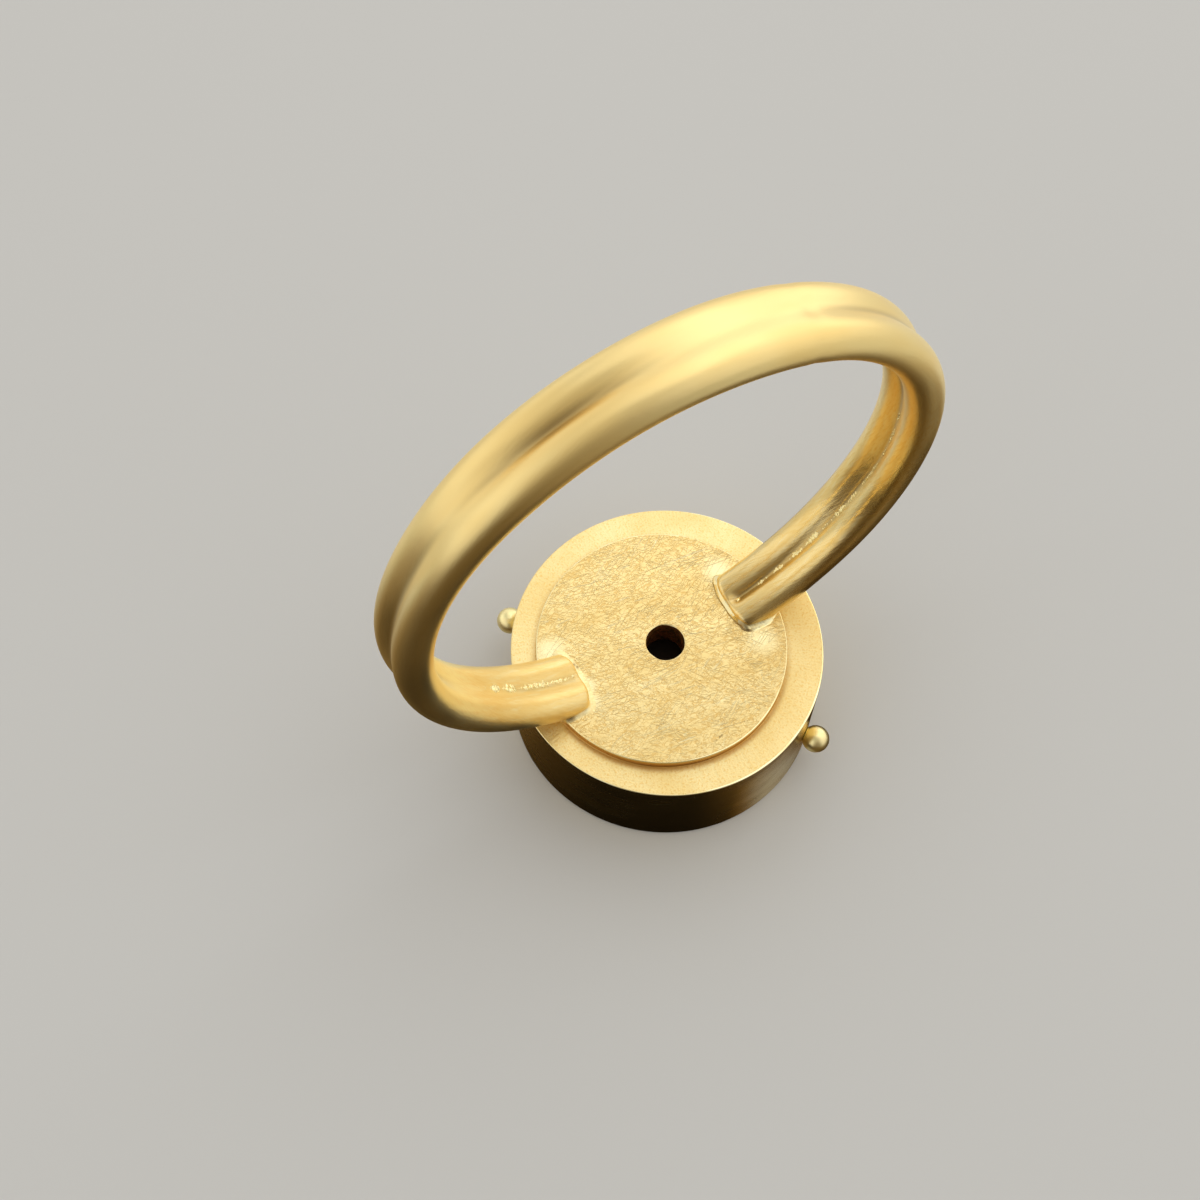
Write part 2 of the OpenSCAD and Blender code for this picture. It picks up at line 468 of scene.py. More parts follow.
def pad(materials):
    """Raised round pad on the back plate, with the small hole and a line of solder round its foot."""

    def uneven(across, turn):
        inner = 1 - smooth_step(0.9, 1.2, across)
        outer = smooth_step(4.6, 4.9, across)
        across = across + HOLE_WANDER * inner * wander(turn * 3, HOLE_SEED) * np.cos(turn * 3)
        return across + PAD_WANDER * outer * wander(np.cos(turn) * 5, PAD_SEED)

    def middle(across):
        return HOLE_X + (PAD_X - HOLE_X) * smooth_step(0.9, 3, across)

    points, faces = spun(rounded_line(pad_outline(), steps=6), middle, uneven=uneven)
    flat = points[faces].mean(1)
    below = PAD_TOP - flat[:, 2]
    hole = np.hypot(flat[:, 0] - HOLE_X, flat[:, 1]) < HOLE_RADIUS + 2 * MARGIN
    outside = np.hypot(flat[:, 0] - PAD_X, flat[:, 1]) > PAD_RADIUS - PAD_EDGE
    looks = np.full(len(faces), PAD_LOOK)
    looks[hole & (below > EDGE_DEPTH)] = PAD_HOLE_LOOK
    looks[hole & (below <= EDGE_DEPTH) & (below > FLATNESS)] = PAD_EDGE_LOOK
    looks[outside & (below < PAD_EDGE)] = PAD_EDGE_LOOK
    looks[outside & (below > PAD_EDGE)] = PAD_SIDE_LOOK
    return piece("pad", points, faces, materials, looks)


# Shank


def swell(theta):
    """How much thicker the wires are than their mean, as a share."""
    return bumps(theta, SWELLINGS) + 0.008 * wander(theta / 9, SWELL_SEED)


def outer_fill(theta):
    """Reach of the solder that fills the groove outside."""
    return OUTER_FILL + bumps(theta, OUTER_FILLS) + 0.03 * wander(theta / 6, OUTER_SEED)


def inner_fill(theta):
    """Reach of the solder that fills the groove inside."""
    return INNER_FILL + bumps(theta, INNER_FILLS) + 0.03 * wander(theta / 5, INNER_SEED)


def tip_fill(theta):
    """Reach of the solder that closes the groove just before the wire ends."""
    past = np.radians(np.maximum(RIGHT_END - theta, theta - LEFT_END)) * SHANK_RADIUS
    return TIP_FILL * smooth_step(-TIP_FILL_START, -TIP_FILL_END, past)


def wire_field(rho, y, theta):
    """Distance from the skin of the two fused wires, at rho outward and y sideways from the shank's line."""
    radius = WIRE_RADIUS * (1 + swell(theta))
    inner = inner_fill(theta)
    fill = inner + (outer_fill(theta) - inner) * smooth_step(-SIDE_CHANGE, SIDE_CHANGE, rho)
    fill = np.maximum(fill, tip_fill(theta))
    first = np.hypot(rho, y - WIRE_SIDE) - radius
    second = np.hypot(rho, y + WIRE_SIDE) - radius
    return soft_union(first, second, fill)


def end_turn(theta, y):
    """Turn that rounds the outline of both ends, so that the middle reaches past the sides."""
    turn = np.degrees((END_OVER + END_BULGE * np.maximum(1 - y * y, 0)) / SHANK_RADIUS)
    left = smooth_step(LEFT_END - END_LENGTH, LEFT_END, theta)
    right = 1 - smooth_step(RIGHT_END, RIGHT_END + END_LENGTH, theta)
    return turn * (left - right)


def shank_point(theta, rho, y):
    """Place in the frame of a point near the shank's line."""
    t = np.radians(theta)
    r = SHANK_RADIUS + rho
    return np.stack([r * np.sin(t), SHANK_Y + y + 0 * t, SHANK_Z - r * np.cos(t)], -1)


def wire_reach(theta, ray, inset):
    """Distance from the shank's line to the wires' skin along each ray, inset into the metal."""
    shape = np.broadcast(theta, ray).shape
    low = np.zeros(shape)
    high = np.full(shape, 1.6)
    for _ in range(34):
        mid = (low + high) / 2
        inside = wire_field(mid * np.sin(ray), mid * np.cos(ray), theta) < -inset
        low = np.where(inside, mid, low)
        high = np.where(inside, high, mid)
    return (low + high) / 2


def even_rays(count):
    """Ray angles that put the points of a section at even steps round its outline."""
    ray = np.linspace(0, 2 * np.pi, 2001)
    reach = wire_reach(np.full_like(ray, 120.0), ray, 0)
    outline = np.stack([reach * np.cos(ray), reach * np.sin(ray)], -1)
    length = np.concatenate([[0], np.cumsum(np.linalg.norm(np.diff(outline, axis=0), axis=1))])
    return np.interp(np.arange(count) / count * length[-1], length, ray)


def painted_shade_stretch(theta, y, shade_stretch, drift=0):
    """A soft stretch of painted shade on the wires."""
    share, (middle, reach), (side, width) = shade_stretch
    return share * bump_at(theta, middle, reach) * bump_at(y, side + drift, width)


def shank_darkening_and_shade(theta, rho, y):
    """Share of darkening in the groove, and of painted shade on its darkest stretch and on the front side of
    the right leg.
    """
    groove = GROOVE_DARKENING * bump_at(y, 0, GROOVE_HALF) * (1 - smooth_step(0.45, 0.6, np.abs(rho)))
    # Painted shade on the darkest stretch outside, on the right leg's front flank and at its end
    dark_line = painted_shade_stretch(theta, y, LINE_PAINTED_SHADE) * smooth_step(0, SIDE_CHANGE, rho)
    flank = painted_shade_stretch(theta, y, FLANK_PAINTED_SHADE, FLANK_DRIFT * (theta - FLANK_START)) * (rho < FLANK_TOP)
    return np.maximum.reduce([groove, dark_line, flank, painted_shade_stretch(theta, y, END_PAINTED_SHADE)])


def shank(materials, sections=380, around=96):
    """Two round wires fused side by side and bent round the finger, with softly rounded ends."""
    ray = even_rays(around)
    corner = np.linspace(0, np.pi / 2, 6)[1:]
    degree = np.degrees(1 / SHANK_RADIUS)
    back = TIP_ROUND * (1 - np.sin(corner))
    inset = TIP_ROUND * (1 - np.cos(corner))
    body = np.linspace(RIGHT_END + TIP_ROUND * degree, LEFT_END - TIP_ROUND * degree, sections)
    theta = np.concatenate([RIGHT_END + back[::-1] * degree, body, LEFT_END - back * degree])
    inset = np.concatenate([inset[::-1], 0 * body, inset])
    reach = wire_reach(theta[:, None], ray[None, :], inset[:, None])
    shares = np.array([[0.3], [0.65]])
    theta = np.concatenate([theta[[0, 0]], theta, theta[[-1, -1]]])[:, None]
    reach = np.vstack([shares * reach[0], reach, shares[::-1] * reach[-1]])
    rho = reach * np.sin(ray)
    y = reach * np.cos(ray)
    points = shank_point(theta + end_turn(theta, y), rho, y)
    index = np.arange(points.shape[0] * around).reshape(-1, around)
    below = index[:-1]
    above = index[1:]
    faces = np.stack([below, above, np.roll(above, -1, 1), np.roll(below, -1, 1)], -1).reshape(-1, 4)
    ends = theta[[0, -1], 0] + end_turn(theta[[0, -1], 0], 0)
    points = np.vstack([points.reshape(-1, 3), shank_point(ends, np.zeros(2), np.zeros(2))])
    caps = fans(len(points) - 1, index[-1], len(points) - 2, index[0])
    along = np.radians(theta) * SHANK_RADIUS + 0 * rho
    grain = np.stack([along, y, rho], -1).reshape(-1, 3)
    grain = np.vstack([grain, grain[0], grain[-1]])
    dark_marks_and_shade = np.append(shank_darkening_and_shade(theta, rho, y).ravel(), [0, 0])
    return piece("shank", points, [*faces.tolist(), *caps], materials, grain=grain, dark_marks_and_shade=dark_marks_and_shade)


# Solder


def netted(field, low, high, step):
    """Points and faces of the closed skin where a distance field is zero, inside a box."""
    axes = [np.arange(a, b + step, step) for a, b in zip(low, high)]
    grid = np.stack(np.meshgrid(*axes, indexing="ij"), -1)
    inside = field(grid) < 0
    shape = np.array(inside.shape) - 1
    corners = [(i, j, k) for i in (0, 1) for j in (0, 1) for k in (0, 1)]

    def at(array, corner):
        return array[tuple(slice(c, c + n) for c, n in zip(corner, shape))]

    held = sum(at(inside, c).astype(int) for c in corners)
    mixed = (held > 0) & (held < 8)
    index = np.full(mixed.shape, -1)
    index[mixed] = np.arange(mixed.sum())
    middle = at(grid, (0, 0, 0))[mixed] + step / 2
    points = middle.copy()
    for _ in range(6):
        points = np.clip(points - step_to_skin(field, points), middle - 0.6 * step, middle + 0.6 * step)
    faces = []
    for axis in range(3):
        order = [axis, (axis + 1) % 3, (axis + 2) % 3]
        here = np.moveaxis(inside, order, [0, 1, 2])
        cell = np.moveaxis(index, order, [0, 1, 2])
        change = here[:-1, 1:-1, 1:-1] != here[1:, 1:-1, 1:-1]
        leaves = here[:-1, 1:-1, 1:-1][change]
        quad = [cell[:, :-1, :-1], cell[:, 1:, :-1], cell[:, 1:, 1:], cell[:, :-1, 1:]]
        quad = np.stack([q[change] for q in quad], -1)
        faces.append(np.where(leaves[:, None], quad, quad[:, ::-1]))
    return points, np.vstack(faces)


def step_to_skin(field, points, reach=0.002):
    """The step from each point to the place where the field is zero."""
    slope = np.stack(
        [(field(points + reach * e) - field(points - reach * e)) / (2 * reach) for e in np.eye(3)], -1
    )
    size = np.maximum((slope * slope).sum(-1, keepdims=True), 0.25)
    return field(points)[..., None] * slope / size


def solder_field(points, end, sizes):
    """Distances from the solder at one end of the wires: its skin, and its share of painted shadow round the
    foot, of dark pits and of painted shade.
    """
    x, y, z = np.moveaxis(points, -1, 0)
    leg, flare, cup = sizes
    way = 1 if end > 180 else -1
    theta = np.degrees(np.arctan2(x, SHANK_Z - z))
    theta = np.where(theta < 0, theta + 360, theta)
    rho = np.hypot(x, z - SHANK_Z) - SHANK_RADIUS
    theta = theta - end_turn(theta, y - SHANK_Y)
    past = np.radians(theta - end) * SHANK_RADIUS * way
    wires = round_cut(wire_field(rho, y - SHANK_Y, theta), past, TIP_ROUND) + WIRE_CLEAR
    plate = round_cut(np.hypot(x - PAD_X, y) - PAD_RADIUS, z - PAD_TOP, PLATE_EDGE)
    plate = np.minimum(plate, z - DRUM_TOP)
    uneven = 1 + 0.08 * wander(2.2 * x + 1.4 * y, SOLDER_SEEDS[0])
    uneven = uneven + 0.06 * wander(2.6 * y - 1.1 * x, SOLDER_SEEDS[1])
    ahead = smooth_step(-0.45, 0.0, past)
    cup = cup * smooth_step(0.6, 1.2, SHANK_Y - y) * (1 - smooth_step(0.8, 1.4, -past))
    collar_leg = leg * (COLLAR_BEHIND + (1 - COLLAR_BEHIND) * ahead) * uneven
    collar = (wires + plate - collar_leg) * np.sqrt(0.5)
    collar = round_cut(collar, wires - COLLAR_WIDTH * collar_leg, COLLAR_EDGE)
    shallow = soft_union(wires, FLARE_SLOPE * plate, (THIN_SOLDER + (flare - THIN_SOLDER) * ahead) * uneven)
    hollow = soft_union(wires, plate, (THIN_SOLDER + cup) * uneven)
    skin = np.minimum(np.minimum(collar, shallow), hollow) + FILLET_INSET
    far = np.hypot((-past - SOLDER_MIDDLE) / SOLDER_HALF[0], (y - SHANK_Y) / SOLDER_HALF[1]) - 1
    near_plate = 1 - smooth_step(0.03, 0.07, plate)
    # Painted shadow line round the foot of the right collar
    foot = (way < 0) * ahead * bump_at(wires, COLLAR_WIDTH * leg, 0.5 * leg) * near_plate
    # Dark pits, and two larger spots of painted shade in front of the wires
    for (pit_x, pit_y), size in SOLDER_PITS_AND_SHADES:
        foot = np.maximum(foot, bump_at(np.hypot(x - pit_x, 0.7 * (y - pit_y)), 0, size))
    return np.maximum(np.maximum(skin, far), DRUM_TOP - SOLDER_SUNK - z), foot


def solder(name, end, sizes, side, look):
    """Solder between the wires and the pad at one end, as a closed skin."""
    tip = shank_point(np.array(end), 0, 0)
    (length, width), (under, over), further = SOLDER_BOX
    low = np.array([tip[0] - length, SHANK_Y - width, DRUM_TOP - under])
    high = np.array([tip[0] + length, SHANK_Y + width, DRUM_TOP + over])
    low[0] -= further * (side < 0)
    high[0] += further * (side > 0)
    points, faces = netted(lambda p: solder_field(p, end, sizes)[0], low, high, FILLET_STEP)
    foot = solder_field(points, end, sizes)[1]
    return piece(name, points, faces, [look], grain=points, dark_marks_and_shade=foot)


def seam(name, start, end, amount, side, widths, materials):
    """Crumbly line of solder in the groove inside the shank, with its widths at the first and last angle."""
    count = int(abs(end - start) / SEAM_STEP)
    theta = np.linspace(start, end, count)
    across = np.linspace(0, 2 * np.pi, SEAM_SIDES, endpoint=False)
    rng = np.random.default_rng(CRUMB_SEED)
    knots = start + np.cumsum(rng.uniform(0.25, 0.8, int(2.5 * (end - start))))
    lump = np.interp(theta, knots, rng.uniform(0, 1, len(knots)))
    sign = np.where(np.arange(len(knots)) % 2, 1, -1)
    shift = np.interp(theta, knots, sign * rng.uniform(0.3, 1, len(knots)))
    clump = smooth_step(-0.7, 0.5, wander(theta * 0.9, CLUMP_SEED))
    fade = smooth_step(0, 9, theta - start) * smooth_step(0, 3, end - theta) * (0.3 + 0.7 * clump)
    narrowing = smooth_step(0.3, 0.65, (theta - start) / (end - start))
    width = widths[0] + (widths[1] - widths[0]) * narrowing
    wide = width * (0.6 + 0.4 * lump) * (0.35 + 0.65 * fade)
    high = (SEAM_HEIGHT + SEAM_LUMP * lump) * (0.25 + 0.75 * fade) * amount
    crumbs = rng.normal(size=(count, SEAM_SIDES))
    crumbs = (crumbs + np.roll(crumbs, 1, 0) + np.roll(crumbs, 1, 1) + np.roll(crumbs, (1, 1), (0, 1))) / 2
    bottom = wire_reach(theta, np.full(count, -np.pi / 2), 0) - SEAM_SUNK
    rho = -bottom[:, None] - high[:, None] * (1 + SEAM_ROUGH[0] * crumbs) * np.sin(across)
    y = side + SEAM_SHIFT * (shift * fade)[:, None]
    y = y + wide[:, None] * (1 + SEAM_ROUGH[1] * crumbs) * np.cos(across)
    points = shank_point(theta[:, None] + 0 * rho, rho, y)
    index = np.arange(count * SEAM_SIDES).reshape(count, SEAM_SIDES)
    faces = ring_faces(index[:-1], index[1:])
    ends = shank_point(theta[[0, -1]], -bottom[[0, -1]], np.full(2, side))
    points = np.vstack([points.reshape(-1, 3), ends])
    caps = fans(len(points) - 2, index[0], len(points) - 1, index[-1])
    return piece(name, points, [*faces.tolist(), *caps], materials, grain=points)


# Granules and stone


def capped(line, middle_x, sides):
    """Points and faces of a line turned round the Z axis, with a point on the axis at both ends."""
    points, faces = spun(line[1:-1], lambda across: middle_x, sides, closed=False)
    ends = [[middle_x, 0, line[0][1]], [middle_x, 0, line[-1][1]]]
    ring = np.arange(sides)
    caps = fans(len(points), ring, len(points) + 1, ring + (len(line) - 3) * sides)
    return np.vstack([points, ends]), [*faces.tolist(), *caps]


def granule(name, angle, materials):
    """Small ball on the drum wall with a low collar of solder, at an angle round the drum."""
    slope = np.radians(np.linspace(BALL_START, 90, 32))
    ball = GRANULE_RADIUS * np.stack([np.cos(slope), np.sin(slope)], -1)
    rest = GRANULE_RADIUS - GRANULE_SINK
    neck = np.array(GRANULE_NECK) - [0, rest]
    points, faces = capped(np.vstack([neck, ball]), 0, 64)
    wall = DRUM_FRONT_RADIUS + (DRUM_BACK_RADIUS - DRUM_FRONT_RADIUS) * GRANULE_HEIGHT / DRUM_TOP
    way = np.radians(angle)
    turn = Matrix.Rotation(way, 3, "Z") @ Matrix.Rotation(np.pi / 2, 3, "Y")
    side = np.array([np.cos(way), np.sin(way), 0])
    points = points @ np.array(turn).T + (wall + rest) * side + [DRUM_X, 0, GRANULE_HEIGHT]
    return piece(name, points, faces, materials, grain=points)


def opal(materials):
    """Stone with a low dome at the front, a soft girdle and a flat back."""
    across = np.linspace(0, STONE_RADIUS - DOME_EDGE, 40)
    dome = np.stack([across, STONE_FRONT + DOME_RADIUS - np.sqrt(DOME_RADIUS**2 - across**2)], -1)
    girdle = [(STONE_RADIUS - less, dome[-1, 1] + over) for less, over in GIRDLE]
    edge = [(STONE_RADIUS - less, STONE_BACK - under) for less, under in BACK_EDGE]
    back = [(radius, STONE_BACK) for radius in BACK_RINGS]
    points, faces = capped(np.vstack([dome, girdle, edge, back]), DRUM_X, 192)
    height = np.array([points[f, 2].mean() for f in map(list, faces)])
    return piece("opal_stone", points, faces, materials, (height > DARK_BACK).astype(int))


# Materials


class Shader:
    """A material or a sky whose nodes are added and linked by short calls."""

    def __init__(self, made, surface="Principled BSDF"):
        made.use_nodes = True
        self.made = made
        self.nodes = made.node_tree.nodes
        self.links = made.node_tree.links
        self.surface = self.nodes[surface]

    def add(self, kind, inputs=(), **settings):
        """A node with its settings, and inputs by name or number, each a value or a socket."""
        made = self.nodes.new(kind)
        for key, value in settings.items():
            setattr(made, key, value)
        for key, value in dict(inputs).items():
            self.feed(made.inputs[key], value)
        return made

    def feed(self, socket, value):
        """Sets a socket to a value, or links another socket to it."""
        if isinstance(value, bpy.types.NodeSocket):
            self.links.new(value, socket)
        else:
            socket.default_value = value

    def set(self, **values):
        """Feeds sockets of the surface, named with an underline for each space."""
        for key, value in values.items():
            self.feed(self.surface.inputs[key.replace("_", " ")], value)

    def maths(self, operation, *values):
        """The result of a maths node."""
        return self.add("ShaderNodeMath", dict(enumerate(values)), operation=operation).outputs[0]

    def times(self, first, second):
        """The product of two values."""
        return self.maths("MULTIPLY", first, second)

    def most(self, values):
        """The largest of several values."""
        largest = values[0]
        for value in values[1:]:
            largest = self.maths("MAXIMUM", largest, value)
        return largest

    def without(self, value):
        """1 less a value."""
        return self.maths("SUBTRACT", 1.0, value)

    def vectors(self, operation, first, second=(0, 0, 0)):
        """The outputs of a vector maths node."""
        return self.add("ShaderNodeVectorMath", {0: first, 1: second}, operation=operation).outputs

    def axes(self, place):
        """The three coordinates of a place."""
        return self.add("ShaderNodeSeparateXYZ", {0: place}).outputs

    def turned(self, place, turn, factor=1):
        """A place turned about Z in degrees and made larger by a factor."""
        inputs = {"Vector": place, "Rotation": (0, 0, np.radians(turn)), "Scale": (factor, factor, factor)}
        return self.add("ShaderNodeMapping", inputs).outputs[0]

    def on_part(self, scale=(1, 1, 1), turn=0):
        """Coordinates of the part in millimetres, turned and then stretched along the axes."""
        place = self.turned(self.add("ShaderNodeTexCoord").outputs["Object"], turn, 1 / MM)
        return self.add("ShaderNodeMapping", {"Vector": place, "Scale": scale}).outputs[0]

    def on_grain(self, scale=(1, 1, 1), turn=0):
        """Coordinates that follow the piece's own grain in millimetres, turned and then stretched."""
        place = self.turned(self.add("ShaderNodeAttribute", attribute_name="grain").outputs["Vector"], turn)
        return self.add("ShaderNodeMapping", {"Vector": place, "Scale": scale}).outputs[0]

    def dark_marks_and_shade_share(self):
        """The share of darkening that the piece itself holds: dark marks and painted shade."""
        return self.add("ShaderNodeAttribute", attribute_name="dark_marks_and_shade").outputs["Fac"]

    def noise(self, place, scale=1.0, detail=2.0, rough=0.5):
        """A noise value at a place."""
        inputs = {"Vector": place, "Scale": scale, "Detail": detail, "Roughness": rough}
        return self.add("ShaderNodeTexNoise", inputs).outputs[0]

    def ramp(self, value, low, high, start=0.0, end=1.0):
        """A value taken smoothly from start at low to end at high."""
        inputs = {"Value": value, "From Min": low, "From Max": high, "To Min": start, "To Max": end}
        return self.add("ShaderNodeMapRange", inputs, interpolation_type="SMOOTHSTEP").outputs[0]

    def finish(self, noise, least, most):
        """A roughness that wanders between two values with a noise."""
        return self.ramp(noise, 0.3, 0.7, least, most)

    def spot(self, place, middle, inner, outer, start=1, end=0, stretch=(1, 1, 0)):
        """A value that goes from start near a middle to end at the outer distance from it."""
        offset = self.vectors("SUBTRACT", place, middle)[0]
        offset = self.vectors("MULTIPLY", offset, stretch)[0]
        return self.ramp(self.vectors("LENGTH", offset)["Value"], inner, outer, start, end)

    def hairlines(self, place, thickness):
        """Thin lines where a stretched noise passes its middle, 1 on the lines and 0 between them."""
        off = self.maths("ABSOLUTE", self.maths("SUBTRACT", self.noise(place, detail=1.0), 0.5))
        return self.ramp(off, 0, thickness, 1, 0)

    def strokes(self, table, patch_scale, patch_turn, patch_ramp):
        """Hairlines in several directions, each only in patches."""
        made = []
        for turn, along, across, thickness in table:
            patches = self.noise(self.on_part(patch_scale, turn + patch_turn), detail=1.0)
            lines = self.hairlines(self.on_part((along, across, 1), turn), thickness)
            made.append(self.times(lines, self.ramp(patches, *patch_ramp)))
        return self.most(made)

    def scratch(self, middle, turn, half_length, half_width):
        """1 on a straight scratch of the pad, in millimetres and degrees."""
        moved = self.vectors("SUBTRACT", self.on_part(), (*middle, 0))[0]
        split = self.axes(self.turned(moved, -turn))
        along = self.ramp(self.maths("ABSOLUTE", split[0]), 0.5 * half_length, half_length, 1, 0)
        across = self.ramp(self.maths("ABSOLUTE", split[1]), 0, half_width, 1, 0)
        return self.times(along, across)

    def blend(self, share, first, second):
        """A colour between two others."""
        made = self.add("ShaderNodeMix", {"Factor": share}, data_type="RGBA")
        for socket, value in ((made.inputs[6], first), (made.inputs[7], second)):
            self.feed(socket, value if isinstance(value, bpy.types.NodeSocket) else (*value, 1))
        return made.outputs[2]

    def two_tone(self, noise, first, second):
        """A colour that wanders between two others with a noise."""
        return self.blend(self.ramp(noise, 0.3, 0.7), first, second)

    def height(self, value, depth, normal=None):
        """A normal bumped by a height in millimetres."""
        inputs = {"Height": value, "Distance": depth * MM, "Strength": 1.0}
        if normal is not None:
            inputs["Normal"] = normal
        return self.add("ShaderNodeBump", inputs).outputs[0]

    def metal(self, colour, roughness, normal):
        """Finishes the material as metal."""
        self.set(Metallic=1.0, Base_Color=colour, Roughness=roughness, Normal=normal)
        return self.made


def material(name):
    """A new material to add nodes to."""
    return Shader(bpy.data.materials.new(name))


def brush_strokes(s):
    """Short fine wavy strokes of a pad rubbed in several ways."""
    return s.strokes(BRUSH_STROKES, (2.2, 4, 1), 50, (0.3, 0.55))


def pad_gold():
    """Satin gold covered with short fine strokes, and a few longer scratches, with painted shade towards the
    back.
    """
    s = material("satin_gold_pad")
    flat = s.on_part((1, 1, 0))
    rubbed = s.most([s.spot(flat, (x, y, 0), 0.1 * reach, reach) for (x, y), reach in RUBBED])
    dark = s.times(brush_strokes(s), s.ramp(rubbed, 0, 1, 1, 0.25))
    grain = s.noise(s.on_part((6, 15, 1), 8))
    soft = s.noise(s.on_part((0.35, 0.8, 1), 10), detail=3.0)
    scratches = [s.strokes(FINE_SCRATCHES, (0.5, 1.1, 1), 40, (0.42, 0.62))]
    scratches = s.most(scratches + [s.scratch(*line) for line in PAD_SCRATCHES])
    scuff = s.times(s.scratch(*PAD_SCUFF), s.ramp(s.noise(s.on_part((7, 7, 7))), 0.4, 0.6))
    # Painted shade: the pad turns warmer and darker towards the back
    rise = s.vectors("DOT_PRODUCT", flat, (0.47, 0.88, 0))["Value"]
    colour = s.two_tone(soft, BRIGHT_GOLD, PALE_GOLD)
    colour = s.blend(s.ramp(rise, -3, 4, 0, 0.4), colour, WARM_GOLD)
    colour = s.blend(s.ramp(grain, 0.45, 0.7, 0, 0.2), colour, WARM_GOLD)
    colour = s.blend(s.times(dark, 0.75), colour, STROKE_GOLD)
    colour = s.blend(s.times(scuff, 0.7), colour, TARNISH_AND_SHADE_BROWN)
    colour = s.blend(s.times(scratches, 0.6), colour, RUBBED_GOLD)
    colour = s.blend(s.times(rubbed, 0.6), colour, RUBBED_GOLD)
    roughness = s.maths("SUBTRACT", s.finish(soft, 0.34, 0.44), s.times(rubbed, 0.08))
    normal = s.height(s.without(dark), 0.007)
    normal = s.height(grain, 0.006, normal)
    normal = s.height(s.without(scratches), 0.011, normal)
    return s.metal(colour, roughness, normal)


def rim_gold():
    """Finely blasted satin gold with light radial strokes, with painted shade and reflection round the pad's
    foot, strongest at the front.
    """
    s = material("satin_gold_rim")
    strokes = s.noise(s.on_grain((9, 9, 0.5)))
    grit = s.noise(s.on_part((13, 13, 13)), rough=0.6)
    soft = s.noise(s.on_part((0.5, 0.5, 0.5)))
    flat = s.on_part((1, 1, 0))
    near = s.vectors("DOT_PRODUCT", flat, (-0.35, -0.94, 0))["Value"]
    foot = s.spot(flat, (PAD_X, 0, 0), PAD_RADIUS + 0.03, PAD_RADIUS + 0.3)
    colour = s.two_tone(soft, BRIGHT_GOLD, PALE_GOLD)
    colour = s.blend(s.ramp(grit, 0.5, 0.7, 0, 0.65), colour, DEEP_GOLD)
    colour = s.blend(s.ramp(strokes, 0.5, 0.7, 0, 0.35), colour, WARM_GOLD)
    # Painted shade and reflection round the pad's foot, strongest at the front
    colour = s.blend(s.times(foot, s.ramp(near, 0, 4.5, 0.25, 0.8)), colour, PAINTED_FOOT_SHADE)
    return s.metal(colour, s.finish(soft, 0.4, 0.5), s.height(grit, 0.012, s.height(strokes, 0.008)))


def wall_gold():
    """Half polished gold, painted darker as shade and browner in patches, with fine scratches round the
    wall.
    """
    s = material("shaded_gold_wall")
    rings = s.noise(s.on_grain((0.12, 0.12, 9)))
    lines = s.hairlines(s.on_grain((0.25, 0.25, 6)), 0.02)
    soft = s.noise(s.on_grain((0.3, 0.3, 0.8)), detail=3.0)
    colour = s.blend(s.ramp(soft, 0.35, 0.7), SHADED_WALL_GOLD, SHADED_WALL_BROWN)
    return s.metal(colour, s.finish(soft, 0.2, 0.3), s.height(lines, 0.002, s.height(rings, 0.002)))


def hole_gold():
    """Gold inside the small hole, painted dark as shade."""
    s = material("painted_shade_gold_hole")
    soft = s.noise(s.on_part((3, 3, 3)))
    return s.metal(s.two_tone(soft, HOLE_SHADE_GOLD, TARNISH_AND_SHADE_BROWN), s.finish(soft, 0.4, 0.55), s.height(soft, 0.01))


def inner_gold():
    """Plain satin gold of the seat and the hollow behind the stone."""
    s = material("plain_gold_inside")
    soft = s.noise(s.on_part((1.5, 1.5, 1.5)), detail=3.0)
    return s.metal(s.two_tone(soft, WARM_GOLD, DEEP_GOLD), s.finish(soft, 0.35, 0.5), s.height(soft, 0.004))


def edge_gold():
    """Polished gold of the edges of rim, pad and hole, painted paler as a highlight."""
    s = material("polished_gold_edge_painted_highlight")
    soft = s.noise(s.on_part((1.2, 1.2, 1.2)))
    # Paler colour: painted highlight on the edges
    colour = s.two_tone(soft, RUBBED_GOLD, BRIGHT_GOLD)
    return s.metal(colour, s.finish(soft, 0.14, 0.24), s.height(soft, 0.004))


def pad_side_gold():
    """Deep satin gold of the pad's side, with painted shade towards its foot."""
    s = material("deep_gold_pad_side")
    place = s.on_part()
    soft = s.noise(place, 0.6)
    colour = s.two_tone(soft, WARM_GOLD, DEEP_GOLD)
    # Painted shade towards the foot of the pad's side
    colour = s.blend(s.ramp(s.axes(place)[2], DRUM_TOP, PAD_TOP, 0.75, 0.1), colour, PAINTED_FOOT_SHADE)
    return s.metal(colour, s.finish(soft, 0.26, 0.38), s.height(soft, 0.006))


